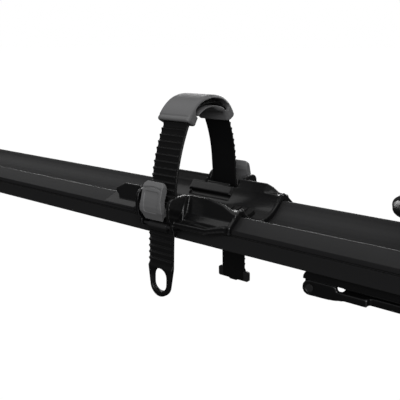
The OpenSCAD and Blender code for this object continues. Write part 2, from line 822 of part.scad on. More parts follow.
module lever_front_view() {
    h = lever_half;
    translate([-h + 1.2, 10]) square([2 * h - 2.4, lever_top - 14]);
    translate([-h + 5.2, 10]) square([2 * h - 10.4, lever_top - 10]);
    for (s = [-1, 1]) translate([s * (h - 5.2), lever_top - 4]) circle(4);
    polygon([[-h + 1.2, 14], [-h + 1.2, 9], [-h, 3], [-h, -1], [-h + 2.4, lever_bottom],
        [h - 2.4, lever_bottom], [h, -1], [h, 3], [h - 1.2, 9], [h - 1.2, 14]]);
}

// Outer layer of the lever's bow
module lever_shell(depth) {
    difference() {
        along_x(-lever_half, lever_w) translate([0.01, 0]) polygon(lever_bow);
        along_x(-lever_half - 1, lever_w + 2) translate([-depth, 0]) polygon(lever_bow);
    }
}

module lever_body() {
    hub_w = 5;
    arc_r = 26;
    color(grey_plastic) difference() {
        union() {
            intersection() {
                along_x(-lever_half, lever_w) polygon(lever_bow);
                along_y(40, 30) lever_front_view();
            }
            for (x = [-lever_half + 0.6, lever_half - hub_w - 0.6]) along_x(x, hub_w) {
                translate([lever_pin_u, lever_pin_z]) circle(lever_hub_r);
                translate([lever_pin_u, lever_pin_z - lever_hub_r + 1])
                    square([63 - lever_pin_u, 2 * lever_hub_r - 1]);
            }
        }
        rod_x([-30, lever_pin_u, lever_pin_z], lever_pin_d + 2 * pin_gap, 60);
        rod_x([-5.5, lever_pin_u, lever_pin_z], lever_pin_d + 3.2, 11);
        // Shallow panel for the thumb, with an arc above it
        intersection() {
            lever_shell(0.7);
            along_y(40, 30) rounded([-7.6, -1.5], [7.6, 16.6], 2.4);
        }
        intersection() {
            lever_shell(0.9);
            along_y(40, 30) intersection() {
                translate([-9.6, 10]) square([19.2, 12]);
                difference() {
                    translate([0, 20.4 - arc_r]) circle(arc_r);
                    translate([0, 20.4 - arc_r]) circle(arc_r - 1.1);
                }
            }
        }
    }
}

module lever_pin() {
    l = cheek_x + cheek_t - 0.6;
    color(steel) rod_x([-l, lever_pin_u, lever_pin_z], lever_pin_d, 2 * l);
}

module lever_spring() {
    color(steel) difference() {
        rod_x([-5, lever_pin_u, lever_pin_z], lever_pin_d + 2.4, 10);
        rod_x([-6, lever_pin_u, lever_pin_z], lever_pin_d + 0.6, 12);
    }
}

module pawl_body() {
    color(steel) difference() {
        union() {
            rod_x([-10, pawl_pin_u, pawl_pin_z], 2 * pawl_hub_r, 20);
            along_x(-9.5, 19) translate([pawl_pin_u, pawl_pin_z])
                polygon([[-1.9, -0.6], [1.9, -0.6], [0.4, -5], [-1.4, -5.4]]);
        }
        rod_x([-30, pawl_pin_u, pawl_pin_z], pawl_pin_d + 2 * pin_gap, 60);
    }
}

module pawl_pin() {
    l = cheek_x + cheek_t - 0.6;
    color(steel) rod_x([-l, pawl_pin_u, pawl_pin_z], pawl_pin_d, 2 * l);
}

module near_lever() at_buckle(-1) lever_body();
module near_lever_pin() at_buckle(-1) lever_pin();
module near_lever_spring() at_buckle(-1) lever_spring();
module near_pawl() at_buckle(-1) pawl_body();
module near_pawl_pin() at_buckle(-1) pawl_pin();
module far_lever() at_buckle(1) lever_body();
module far_lever_pin() at_buckle(1) lever_pin();
module far_lever_spring() at_buckle(1) lever_spring();
module far_pawl() at_buckle(1) pawl_body();
module far_pawl_pin() at_buckle(1) pawl_pin();

// Front wheel cradle

function cradle_screw_x() = [cradle_x - cradle_l / 2 + 14, cradle_x + cradle_l / 2 - 14];

cradle_screw_z = -20.5;
cradle_low = -25;
chock_x = cradle_x - cradle_l / 2 + 18;
chock_z = 9;
chock_y = 24;
chock_pin_d = 6;
eye_w = 10;

module cradle_section() {
    difference() {
        polygon([[-cradle_out, cradle_low], [cradle_out, cradle_low], [cradle_out, pivot_h - 10],
            [cradle_out - 3, pivot_h], [-cradle_out + 3, pivot_h], [-cradle_out, pivot_h - 10]]);
        translate([0, pivot_h + 2]) circle(trough_r, $fn = 96);
    }
}

module wheel_cradle() {
    half = cradle_l / 2;
    color(black_plastic) translate([0, 0, ridge_z]) difference() {
        union() {
            intersection() {
                along_x(cradle_x - half, cradle_l) cradle_section();
                along_y(-80, 160) polygon([[cradle_x - half, cradle_low - 1],
                    [cradle_x - half, 14], [cradle_x - half + 30, pivot_h],
                    [cradle_x + half - 30, pivot_h], [cradle_x + half, 14],
                    [cradle_x + half, cradle_low - 1]]);
            }
            along_y(boss_in, boss_out - boss_in) {
                translate([pivot_x, pivot_h]) circle(hub_r);
                translate([pivot_x - hub_r, -10]) square([2 * hub_r, pivot_h + 10]);
            }
        }
        along_x(cradle_x - half - 1, cradle_l + 2) rail_space(0.1);
        rod_y([pivot_x, 0, pivot_h], axle_d + 2 * pin_gap, 100);
        translate([pivot_x, boss_in - 1, pivot_h]) rotate([-90, 0, 0])
            cylinder(h = 5.1, d = 18.4, $fn = 6);
        for (x = cradle_screw_x(), s = [-1, 1]) scale([1, s, 1])
            rod_y([x, 30, cradle_screw_z], 4.3, 40);
        rod_y([chock_x, -60, chock_z], chock_pin_d + 2 * pin_gap, 120);
        box([cradle_x - half + 34, -14, -13], [cradle_x + half - 34, 14, 0]);
    }
}

module cradle_treads() {
    half = cradle_l / 2;
    color(rubber) translate([0, 0, ridge_z])
        intersection() {
            along_x(cradle_x - half + 34.4, cradle_l - 68.8) difference() {
                translate([-13.6, -13 + 0.02]) square([27.2, 8]);
                translate([0, pivot_h + 2]) circle(trough_r - 2, $fn = 96);
            }
            box([0, -20, -30], [2000, 20, 20]);
        }
}

module cradle_screws() {
    color(steel) translate([0, 0, ridge_z]) for (x = cradle_screw_x(), s = [-1, 1])
        scale([1, s, 1]) difference() {
            union() {
                rod_y([x, side_y - 5, cradle_screw_z], 4, 5 + cradle_out - side_y + 0.2);
                rod_y([x, cradle_out + 0.1, cradle_screw_z], 8, 2.6);
            }
            translate([x, cradle_out + 1.2, cradle_screw_z]) rotate([-90, 0, 0])
                cylinder(h = 3, d = 4, $fn = 6);
        }
}

// Folding arm, drawn from its pivot with the arm running to the rear

module at_pivot() translate([pivot_x, 0, pivot_z]) children();

module pivot_axle() {
    color(steel) at_pivot() {
        rod_y([0, boss_in - 0.5, 0], axle_d, hub_in + hub_w - boss_in + 1.2);
        rod_y([0, hub_in + hub_w + face_gap, 0], 18, 3.4);
    }
}

module pivot_nut() {
    color(steel) at_pivot() difference() {
        translate([0, boss_in - 0.9, 0]) rotate([-90, 0, 0]) cylinder(h = 4.9, d = 17.6, $fn = 6);
        rod_y([0, boss_in - 2, 0], axle_d, 10);
    }
}

module pivot_bushes() {
    color("dimgray") at_pivot() for (y = [hub_in, hub_in + hub_w - 8]) difference() {
        rod_y([0, y, 0], 2 * bush_r, 8);
        rod_y([0, y - 1, 0], axle_d + 2 * pin_gap, 10);
    }
}

module arm_section(h, w, r) {
    translate([arm_y, 0]) rounded([-w / 2, -h / 2], [w / 2, h / 2], r);
}

module arm_tube() {
    color(black_metal) at_pivot() difference() {
        union() {
            rod_y([0, hub_in, 0], 2 * hub_r, hub_w);
            along_x(-tube_l, tube_l) arm_section(tube_h, tube_w, 4);
        }
        along_x(-tube_l - 1, tube_l - hub_r - 2)
            arm_section(tube_h - 2 * tube_wall, tube_w - 2 * tube_wall, 2.4);
        rod_y([0, hub_in - 1, 0], 2 * bush_r, hub_w + 2);
        box([button_x + 12, arm_y, -5], [button_x + 21, arm_y + tube_w, 5]);
    }
}

module hub_cap() {
    y0 = hub_in + hub_w + face_gap + 3.4;
    color(black_plastic) at_pivot() difference() {
        rod_y([0, y0 - 3.2, 0], 28, 6);
        rod_y([0, y0 - 4, 0], 18.2, 4.1);
        rod_y([0, y0 + 1.8, 0], 19, 4);
    }
}

// Housing round the open end of the tube with the release button and the pawl
house_out = arm_y + tube_w / 2 + 16;
button_x = -tube_l + 20;
button_in = house_out - 6.5;
latch_x = button_x + 9;
latch_y = arm_y + tube_w / 2 + 5;
latch_d = 2;

module ratchet_housing() {
    color(black_plastic) at_pivot() difference() {
        along_x(-tube_l - 6, housing_l)
            rounded([arm_y - tube_w / 2 - 3, -tube_h / 2 - 3], [house_out, tube_h / 2 + 3], 5);
        along_x(-tube_l, housing_l + 20) arm_section(tube_h + 0.1, tube_w + 0.1, 4);
        along_x(-tube_l - 20, 40) arm_section(bar_hi + 0.8, bar_wi + 0.8, 2);
        // Chamber for the latch and the button
        box([button_x - 11, arm_y, -8.5], [button_x + 20, house_out - 3, 8.5]);
        rod_y([button_x, house_out - 10, 0], 13, 20);
        rod_x([button_x + 5, house_out - 4.5, 12.5], 6.2, 30);
        translate([latch_x, latch_y, -12]) cylinder(h = 24, d = latch_d + 2 * pin_gap);
    }
}

module release_button() {
    color(grey_plastic) at_pivot() {
        rod_y([button_x, button_in + 1, 0], 12.4, 8.5);
        rod_y([button_x, button_in, 0], 15.4, 3.2);
        rod_y([button_x, button_in - 3.2, 0], 4, 4);
    }
}

module release_spring() {
    color(steel) at_pivot() difference() {
        rod_y([button_x, button_in - 1.6, 0], 6.4, 1.5);
        rod_y([button_x, button_in - 10, 0], 4.4, 30);
    }
}

module ratchet_pawl() {
    color(steel) at_pivot() difference() {
        union() {
            translate([latch_x, latch_y, -7.5]) cylinder(h = 15, d = 4.6);
            box([latch_x - 11.5, latch_y - 1, -4], [latch_x + 8, latch_y + 1, 4]);
            box([latch_x + 5, arm_y + bar_wi / 2 + 0.3, -4], [latch_x + 8, latch_y, 4]);
        }
        translate([latch_x, latch_y, -12]) cylinder(h = 24, d = latch_d + 2 * pin_gap);
    }
}

module pawl_pivot() {
    color(steel) at_pivot() translate([latch_x, latch_y, -11.5])
        cylinder(h = 23, d = latch_d);
}

module lock_core() {
    color(steel) at_pivot() difference() {
        rod_x([button_x + 6, house_out - 4.5, 12.5], 6, 18.4);
        box([button_x + 23.5, house_out - 6.5, 12.1], [button_x + 25, house_out - 2.5, 12.9]);
    }
}

module arm_bar() {
    bar_in = -tube_l + 170;
    teeth_x = latch_x + 6.5 + 40;
    color(black_metal) at_pivot() difference() {
        along_x(arm_out + 5, bar_in - arm_out - 5) arm_section(bar_hi, bar_wi, 2);
        along_x(arm_out + 40, 1000) arm_section(bar_hi - 2 * bar_wall, bar_wi - 2 * bar_wall, 1);
        for (i = [0 : 17]) translate([teeth_x - i * tooth_step, 0, 0])
            box([-2, arm_y + bar_wi / 2 - 1.5, -5], [2, arm_y + bar_wi, 5]);
    }
}

// Hook: a round rod that crosses the wheel and turns back along it
hook_tip_y = -28;
bend_r = 18;

module hook() {
    x0 = arm_out;
    color(black_metal) at_pivot() {
        rod_y([x0, hook_tip_y + bend_r, 0], hook_d, arm_y - hook_tip_y - bend_r - 10);
        translate([x0 + bend_r, hook_tip_y + bend_r, 0]) rotate([0, 0, 180])
            rotate_extrude(angle = 90) translate([bend_r, 0]) circle(d = hook_d);
        rod_x([x0 + bend_r, hook_tip_y, 0], hook_d, 34);
        translate([x0 + bend_r + 34, hook_tip_y, 0]) sphere(d = hook_d + 3);
        difference() {
            along_x(x0 - hook_d / 2 - 1, 34)
                translate([arm_y, 0]) rounded([-bar_wi / 2 - 4, -bar_hi / 2 - 4],
                    [bar_wi / 2 + 4, bar_hi / 2 + 4], 5);
            along_x(x0 + 5, 60) arm_section(bar_hi, bar_wi, 2);
        }
    }
}

module hook_sleeve() {
    l = arm_y - hook_tip_y - bend_r - bar_wi / 2 - 8;
    color(rubber) at_pivot() difference() {
        rod_y([arm_out, hook_tip_y + bend_r + 1, 0], hook_d + 4, l);
        rod_y([arm_out, hook_tip_y, 0], hook_d, arm_y - hook_tip_y);
    }
}

// Hoop that swings up against the wheel
hoop_l = 112;
hoop_r = 14;

module chock_hoop() {
    x1 = chock_x - hoop_l;
    color(black_metal) translate([0, 0, ridge_z + chock_z]) difference() {
        union() {
            for (s = [-1, 1]) scale([1, s, 1]) {
                rod_x([x1 + hoop_r, chock_y, 0], hoop_d, hoop_l - hoop_r - 6);
                translate([x1 + hoop_r, chock_y - hoop_r, 0]) rotate([0, 0, 90])
                    rotate_extrude(angle = 90) translate([hoop_r, 0]) circle(d = hoop_d);
                rod_y([chock_x, chock_y - eye_w / 2, 0], 13, eye_w);
            }
            rod_y([x1, -chock_y + hoop_r, 0], hoop_d, 2 * (chock_y - hoop_r));
        }
        rod_y([chock_x, -60, 0], chock_pin_d + 2 * pin_gap, 120);
    }
}

module chock_pins() {
    color(steel) translate([0, 0, ridge_z + chock_z]) for (s = [-1, 1]) scale([1, s, 1]) {
        rod_y([chock_x, chock_y - eye_w / 2 - 1, 0], chock_pin_d,
            cradle_out - chock_y + eye_w / 2 + 1.5);
        rod_y([chock_x, cradle_out + 0.1, 0], 10, 2);
        rod_y([chock_x, chock_y - eye_w / 2 - 2.1, 0], 9, 2);
    }
}

module chock_sleeve() {
    color(rubber) translate([chock_x - hoop_l, -chock_y + hoop_r + 0.5, ridge_z + chock_z])
        rotate([-90, 0, 0]) difference() {
            cylinder(h = 2 * (chock_y - hoop_r) - 1, d = hoop_d + 4);
            translate([0, 0, -1]) cylinder(h = 60, d = hoop_d);
        }
}

rail();
rear_end_cap();
front_end_cap();
end_cap_screws();
rear_clamp_base();
rear_seat_pad();
rear_tbolts();
rear_clamp_nuts();
rear_jaw();
rear_jaw_pad();
rear_jaw_pin();
rear_clamp_bolt();
rear_clamp_knob();
rear_bolt_nut();
front_clamp_base();
front_seat_pad();
front_tbolts();
front_clamp_nuts();
front_jaw();
front_jaw_pad();
front_jaw_pin();
front_clamp_bolt();
front_clamp_knob();
front_bolt_nut();
holder_body();
holder_tread();
strap();
rim_protector();
near_lever();
near_lever_pin();
near_lever_spring();
near_pawl();
near_pawl_pin();
far_lever();
far_lever_pin();
far_lever_spring();
far_pawl();
far_pawl_pin();
wheel_cradle();
cradle_treads();
cradle_screws();
pivot_axle();
pivot_nut();
pivot_bushes();
arm_tube();
hub_cap();
ratchet_housing();
arm_bar();
hook();
hook_sleeve();
release_button();
release_spring();
ratchet_pawl();
pawl_pivot();
lock_core();
chock_hoop();
chock_pins();
chock_sleeve();
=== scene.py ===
"""Roof mounted bike carrier: the visible pieces, their finishes, the studio and the camera."""

import json
import math

import bmesh
import bpy
from mathutils import Matrix, Vector


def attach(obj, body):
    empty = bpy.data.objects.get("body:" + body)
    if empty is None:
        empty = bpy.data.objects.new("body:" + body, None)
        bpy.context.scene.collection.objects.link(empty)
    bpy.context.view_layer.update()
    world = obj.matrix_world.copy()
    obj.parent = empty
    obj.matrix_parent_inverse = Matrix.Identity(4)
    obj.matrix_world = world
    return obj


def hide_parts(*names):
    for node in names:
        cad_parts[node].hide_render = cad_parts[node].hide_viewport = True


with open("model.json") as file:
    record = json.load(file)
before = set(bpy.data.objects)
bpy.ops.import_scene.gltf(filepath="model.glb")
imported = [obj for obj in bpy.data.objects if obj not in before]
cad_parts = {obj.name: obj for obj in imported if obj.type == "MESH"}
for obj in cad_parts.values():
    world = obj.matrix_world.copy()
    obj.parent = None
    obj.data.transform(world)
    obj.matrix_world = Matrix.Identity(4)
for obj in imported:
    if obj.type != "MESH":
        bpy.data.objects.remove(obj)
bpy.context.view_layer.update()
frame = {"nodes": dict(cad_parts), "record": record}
nodes = frame["nodes"]
body_of_node = {n: b for b, ns in frame["record"]["behaviour"]["bodies"].items() for n in ns}
slot_of_node = {s["node"]: s["material_slot"] for s in frame["record"]["subparts"]}
MM = 0.001


# Studio

# The photo's camera, solved from the rail's vanishing point and the strap
CAMERA_PLACE = (0.0683, -0.405, 0.1703)
CAMERA_AZIMUTH, CAMERA_PITCH = 38.04, 14.88
LENS_MM, SENSOR_MM = 52.68, 36

# Rectangular lamps: place, aim and size in metres, power in watts
LAMPS = {
    "overhead_softbox": ((-2.2, 0.1, 3.2), (-2.2, 0.0, 0), (7.6, 1.8), 38),
    "rear_strip": ((-1.4, 3.6, 1.15), (-0.6, 0, 0.05), (7.0, 0.7), 80),
    "near_fill": ((1.9, -3.1, 1.6), (0.0, 0, 0.0), (3.0, 2.0), 86),
}
WHITE = [1, 1, 1, 1]
DIMMEST_SKY, BRIGHTEST_SKY = 0.06, 0.24
FLOOR_REACH, FLOOR_LEVEL = 60, -0.25
FLOOR_GLOW, FLOOR_GLOW_SHARE = 1.17, 0.86


def linear(hexcode):
    """sRGB hex to linear colour with alpha 1."""
    parts = [int(hexcode[i:i + 2], 16) / 255 for i in (1, 3, 5)]
    return [c / 12.92 if c <= 0.04045 else ((c + 0.055) / 1.055) ** 2.4 for c in parts] + [1]


def add(tree, kind, links=None, **settings):
    """Adds a node; links maps its sockets to values or to other nodes' sockets."""
    made = tree.nodes.new(kind)
    for key, value in settings.items():
        setattr(made, key, value)
    for key, value in (links or {}).items():
        if isinstance(value, bpy.types.NodeSocket):
            tree.links.new(value, made.inputs[key])
        else:
            made.inputs[key].default_value = value
    return made


def empty_tree(owner):
    """The cleared node tree of a world or a material."""
    owner.use_nodes = True
    owner.node_tree.nodes.clear()
    return owner.node_tree


def new_object(name, data):
    made = bpy.data.objects.new(name, data)
    bpy.context.scene.collection.objects.link(made)
    return made


def aim(thing, ahead):
    """Turns a camera or a lamp to look along a direction."""
    thing.rotation_mode = "QUATERNION"
    thing.rotation_quaternion = ahead.to_track_quat("-Z", "Y")


def point_camera():
    azimuth, pitch = math.radians(CAMERA_AZIMUTH), math.radians(CAMERA_PITCH)
    data = bpy.data.cameras.new("photo_camera")
    data.sensor_width = SENSOR_MM
    data.lens = LENS_MM
    data.clip_start, data.clip_end = 0.01, 100
    camera = new_object("photo_camera", data)
    camera.location = CAMERA_PLACE
    aim(camera, Vector((-math.sin(azimuth) * math.cos(pitch),
                        math.cos(azimuth) * math.cos(pitch), -math.sin(pitch))))
    bpy.context.scene.camera = camera


def light_world():
    """White for the eye and through glass, else a soft light, brighter above and behind.

    Mirrored rays keep the soft light, because white all round turned the black faces grey.
    """
    world = bpy.data.worlds.new("studio")
    bpy.context.scene.world = world
    tree = empty_tree(world)
    heading = add(tree, "ShaderNodeTexCoord").outputs["Generated"]
    parts = add(tree, "ShaderNodeSeparateXYZ", {0: heading})
    behind = add(tree, "ShaderNodeMath", {0: parts.outputs["Y"], 1: 0.45, 2: 0.1},
                 operation="MULTIPLY_ADD")
    above = add(tree, "ShaderNodeMath", {0: parts.outputs["Z"], 1: 0.55, 2: behind.outputs[0]},
                operation="MULTIPLY_ADD")
    level = add(tree, "ShaderNodeMapRange", {"Value": above.outputs[0],
                                             "From Min": -0.2, "From Max": 0.9,
                                             "To Min": DIMMEST_SKY, "To Max": BRIGHTEST_SKY})
    seen = add(tree, "ShaderNodeLightPath")
    shown = add(tree, "ShaderNodeMath", {0: seen.outputs["Is Camera Ray"],
                                         1: seen.outputs["Is Transmission Ray"]},
                operation="MAXIMUM")
    soft = add(tree, "ShaderNodeBackground", {"Color": WHITE, "Strength": level.outputs[0]})
    white = add(tree, "ShaderNodeBackground", {"Color": WHITE, "Strength": 1.0})
    mixed = add(tree, "ShaderNodeMixShader", {0: shown.outputs[0], 1: soft.outputs[0],
                                              2: white.outputs[0]})
    add(tree, "ShaderNodeOutputWorld", {"Surface": mixed.outputs[0]})


def hang_lamps():
    for name, (place, target, size, power) in LAMPS.items():
        data = bpy.data.lights.new(name, "AREA")
        data.shape = "RECTANGLE"
        data.size, data.size_y = size
        data.energy = power
        lamp = new_object(name, data)
        lamp.location = place
        aim(lamp, Vector(target) - Vector(place))


def lay_floor():
    """White paper under the carrier: it glows for the eye, and still takes a shadow."""
    mesh = bpy.data.meshes.new("floor")
    mesh.from_pydata([(-FLOOR_REACH, -FLOOR_REACH, FLOOR_LEVEL),
                      (FLOOR_REACH, -FLOOR_REACH, FLOOR_LEVEL),
                      (FLOOR_REACH, FLOOR_REACH, FLOOR_LEVEL),
                      (-FLOOR_REACH, FLOOR_REACH, FLOOR_LEVEL)], [], [(0, 1, 2, 3)])
    floor = new_object("floor", mesh)
    paper = bpy.data.materials.new("white_paper_floor")
    tree = empty_tree(paper)
    seen = add(tree, "ShaderNodeLightPath")
    matt = add(tree, "ShaderNodeBsdfDiffuse", {"Color": linear("#4c4c4c")})
    glow = add(tree, "ShaderNodeEmission", {"Color": WHITE, "Strength": FLOOR_GLOW})
    share = add(tree, "ShaderNodeMath", {0: seen.outputs["Is Camera Ray"], 1: FLOOR_GLOW_SHARE},
                operation="MULTIPLY")
    mixed = add(tree, "ShaderNodeMixShader", {0: share.outputs[0], 1: matt.outputs[0],
                                              2: glow.outputs[0]})
    add(tree, "ShaderNodeOutputMaterial", {"Surface": mixed.outputs[0]})
    mesh.materials.append(paper)


# Finishes

PATCH_MM, EDGE_MM = 40, 0.3
# Drift of the gloss, share of the painted highlight on the sharpest edges, gloss of the coat
GLOSS_DRIFT, PAINTED_HIGHLIGHT_SHARE, COAT_ROUGHNESS = 0.06, 0.35, 0.16


def colour_mix(tree, factor, first, second):
    """Colour between two, each of which is a value or a socket."""
    mixed = add(tree, "ShaderNodeMix", {0: factor, 6: first, 7: second}, data_type="RGBA")
    return mixed.outputs[2]


def finish_of(name, dark, light, rough, grain_mm, depth_mm, metallic=0.0, specular=0.5,
              painted_edge_highlight="#4a4a4b", coat=0.0):
    """Shared layout of the finishes: colour drift, a painted highlight on convex edges, grain in
    gloss and relief.

    The grain is drawn coarser than a real one, so that it shows in the render.
    """
    made = bpy.data.materials.new(name)
    tree = empty_tree(made)
    place = add(tree, "ShaderNodeTexCoord").outputs["Object"]
    drift = add(tree, "ShaderNodeTexNoise", {"Vector": place, "Scale": 1 / (PATCH_MM * MM),
                                             "Detail": 3.0, "Roughness": 0.6})
    grain = add(tree, "ShaderNodeTexNoise", {"Vector": place, "Scale": 1 / (grain_mm * MM),
                                             "Detail": 2.0, "Roughness": 0.55})
    tone = colour_mix(tree, drift.outputs["Fac"], linear(dark), linear(light))
    # Painted highlight: the most convex edges, found by pointiness, are mixed towards a paler
    # colour
    ridge = add(tree, "ShaderNodeNewGeometry").outputs["Pointiness"]
    painted_highlight_mask = add(tree, "ShaderNodeMapRange", {"Value": ridge, "From Min": 0.53, "From Max": 0.62,
                                              "To Min": 0.0, "To Max": PAINTED_HIGHLIGHT_SHARE})
    tone = colour_mix(tree, painted_highlight_mask.outputs[0], tone, linear(painted_edge_highlight))
    spread = add(tree, "ShaderNodeMapRange", {"Value": grain.outputs["Fac"],
                                              "From Min": 0.3, "From Max": 0.7,
                                              "To Min": rough - GLOSS_DRIFT,
                                              "To Max": rough + GLOSS_DRIFT})
    edge = add(tree, "ShaderNodeBevel", {"Radius": EDGE_MM * MM}, samples=4)
    relief = add(tree, "ShaderNodeBump", {"Strength": 1.0, "Distance": depth_mm * MM,
                                          "Height": grain.outputs["Fac"],
                                          "Normal": edge.outputs[0]})
    shader = add(tree, "ShaderNodeBsdfPrincipled", {"Base Color": tone, "Metallic": metallic,
                                                    "Roughness": spread.outputs[0],
                                                    "Specular IOR Level": specular,
                                                    "Coat Weight": coat,
                                                    "Coat Roughness": COAT_ROUGHNESS,
                                                    "Normal": relief.outputs[0]})
    add(tree, "ShaderNodeOutputMaterial", {"Surface": shader.outputs[0]})
    return made


# In each finish below, the paler colour for the edges, the default one too, is a painted highlight
FINISHES = {
    # Aluminium, extruded, blasted and anodised black: an even satin black with a weak sheen
    "black_anodised": finish_of("anodised_aluminium", "#0d0d0e", "#111112", 0.42, 0.5, 0.008,
                                specular=0.22),
    # Nylon, injection moulded: black, with the thin gloss of its skin and a bright painted
    # highlight on its rims
    "black_plastic": finish_of("moulded_nylon", "#0b0b0c", "#0f0f10", 0.42, 0.8, 0.012,
                               specular=0.25, painted_edge_highlight="#b2b2b6", coat=0.45),
    # ABS, injection moulded in grey: matt, with a painted highlight that makes its edges a little
    # paler
    "grey_plastic": finish_of("grey_moulding", "#717172", "#79797a", 0.5, 0.8, 0.015,
                              painted_edge_highlight="#8a8a8b"),
    # Urethane, moulded as a toothed band: dull black with a soft shine along the teeth
    "strap_polymer": finish_of("strap_urethane", "#0c0c0d", "#101011", 0.42, 0.8, 0.01,
                               specular=0.35),
    # Rubber, moulded and cured: matt black without a clear highlight
    "rubber": finish_of("cured_rubber", "#0e0e0e", "#131313", 0.7, 0.6, 0.02),
    # Steel, powder coated: black, with the fine unevenness of the baked powder in its sheen
    "black_steel": finish_of("powder_coated_steel", "#101011", "#151516", 0.4, 1.2, 0.03),
    # Steel, zinc plated: bare pale metal with a fine grain
    "steel": finish_of("zinc_plated_steel", "#8c8c8e", "#a6a6a8", 0.35, 0.6, 0.01, 1.0,
                       painted_edge_highlight="#c0c0c2"),
}


# Mesh tools

BEAD_SIDES = 10
MOST_FACES = 190000


def mesh_from(bm, name):
    bmesh.ops.remove_doubles(bm, verts=bm.verts, dist=1e-6)
    bmesh.ops.recalc_face_normals(bm, faces=bm.faces)
    mesh = bpy.data.meshes.new(name)
    bm.to_mesh(mesh)
    bm.free()
    return mesh


def bridge(bm, rings):
    """Walls between rings of corners, and a face on the first and the last ring."""
    for a, b in zip(rings, rings[1:]):
        for k in range(len(a)):
            j = (k + 1) % len(a)
            bm.faces.new((a[k], a[j], b[j], b[k]))
    bm.faces.new(reversed(rings[0]))
    bm.faces.new(rings[-1])


def prism(outline, start, end, axis):
    """Closed prism in mm: an outline in the plane across the axis, from start to end on it."""
    def spot(a, b, c):
        return Vector({"x": (c, a, b), "y": (a, c, b)}[axis]) * MM
    bm = bmesh.new()
    bridge(bm, [[bm.verts.new(spot(a, b, c)) for a, b in outline] for c in (start, end)])
    return mesh_from(bm, "prism")


def bead(points, radius):
    """Round bead in mm along points, with rounded ends."""
    path = [Vector(p) * MM for p in points]
    around = [2 * math.pi * k / BEAD_SIDES for k in range(BEAD_SIDES)]
    bm = bmesh.new()
    rings = []
    for i, p in enumerate(path):
        ahead = (path[min(i + 1, len(path) - 1)] - path[max(i - 1, 0)]).normalized()
        side = ahead.cross(Vector((0, 0, 1)))
        side = side.normalized() if side.length > 0.05 else Vector((1, 0, 0))
        up = side.cross(ahead)
        rings.append([bm.verts.new(p + radius * MM * (side * math.cos(t) + up * math.sin(t)))
                      for t in around])
    bridge(bm, rings)
    for end in (path[0], path[-1]):
        bmesh.ops.create_icosphere(bm, subdivisions=2, radius=radius * MM,
                                   matrix=Matrix.Translation(end))
    return mesh_from(bm, "bead")


def merged_copy(name):
    """Copy of a node's mesh, whose loose triangles are joined at their corners."""
    bm = bmesh.new()
    bm.from_mesh(nodes[name].data)
    bmesh.ops.remove_doubles(bm, verts=bm.verts, dist=2e-6)
    mesh = bpy.data.meshes.new(name)
    bm.to_mesh(mesh)
    bm.free()
    return mesh


def joined(meshes):
    bm = bmesh.new()
    for mesh in meshes:
        bm.from_mesh(mesh)
    made = bpy.data.meshes.new("joined")
    bm.to_mesh(made)
    bm.free()
    return made


def evaluated(thing):
    """The object's mesh with its modifiers applied, and the object removed."""
    bpy.context.view_layer.update()
    graph = bpy.context.evaluated_depsgraph_get()
    mesh = bpy.data.meshes.new_from_object(thing.evaluated_get(graph))
    bpy.data.objects.remove(thing)
    return mesh


def cut_from(mesh, cutters):
    thing, tool = new_object("cut", mesh), new_object("tool", joined(cutters))
    step = thing.modifiers.new("cut", "BOOLEAN")
    step.operation, step.object, step.solver = "DIFFERENCE", tool, "EXACT"
    step.use_self = True
    mesh = evaluated(thing)
    bpy.data.objects.remove(tool)
    return mesh


def place_piece(name, mesh, body, slot, replaced):
    """A finished piece: smooth shading, its finish, and what it rides on and stands for."""
    mesh.materials.clear()
    mesh.materials.append(FINISHES[slot])
    mesh.polygons.foreach_set("use_smooth", [True] * len(mesh.polygons))
    mesh.update()
    piece = new_object(name, mesh)
    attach(piece, body)
    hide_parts(replaced)
    return piece


def moulded(name, voxel_mm, smoothing=3, adds=(), cuts=(), piece=None, base=None):
    """A moulding with real rounded edges: the CAD solid with its small forms, remeshed."""
    mesh = base or merged_copy(name)
    if cuts:
        mesh = cut_from(mesh, cuts)
    if adds:
        mesh = joined([mesh, *adds])
    thing = new_object("moulding", mesh)
    step = thing.modifiers.new("fuse", "REMESH")
    step.mode, step.voxel_size = "VOXEL", voxel_mm * MM
    step = thing.modifiers.new("round", "SMOOTH")
    step.factor, step.iterations = 0.5, smoothing
    mesh = evaluated(thing)
    faces = 2 * len(mesh.polygons)
    if faces > MOST_FACES:
        thing = new_object("moulding", mesh)
        thing.modifiers.new("thin", "DECIMATE").ratio = MOST_FACES / faces
        mesh = evaluated(thing)
    place_piece(piece or name + "_moulding", mesh, body_of_node[name], slot_of_node[name], name)


# Outlines, in mm

def filleted(corners, steps=5):
    """Outline through corners (a, b, radius), each rounded by its radius."""
    outline = []
    for i, (a, b, radius) in enumerate(corners):
        corner = Vector((a, b))
        if radius <= 0:
            outline.append((a, b))
            continue
        to_last = Vector(corners[i - 1][:2]) - corner
        to_next = Vector(corners[(i + 1) % len(corners)][:2]) - corner
        half = to_last.angle(to_next) / 2
        run = min(radius / math.tan(half), 0.48 * to_last.length, 0.48 * to_next.length)
        radius = run * math.tan(half)
        middle = (to_last.normalized() + to_next.normalized()).normalized()
        centre = corner + middle * (radius / math.sin(half))
        first = corner + to_last.normalized() * run - centre
        last = corner + to_next.normalized() * run - centre
        start = math.atan2(first.y, first.x)
        sweep = math.atan2(last.y, last.x) - start
        sweep = (sweep + math.pi) % (2 * math.pi) - math.pi
        for k in range(steps + 1):
            t = start + sweep * k / steps
            outline.append((centre.x + radius * math.cos(t), centre.y + radius * math.sin(t)))
    return outline


def arc(centre, radius, start, stop, steps):
    """Points on a circle from one angle in degrees to another."""
    turns = [math.radians(start + (stop - start) * k / steps) for k in range(steps + 1)]
    return [(centre[0] + radius * math.cos(t), centre[1] + radius * math.sin(t)) for t in turns]


def stadium(middle, low, radius, height):
    """Upright slot with round ends."""
    return (arc((middle, low + height - radius), radius, 0, 180, 14)
            + arc((middle, low + radius), radius, 180, 360, 14))


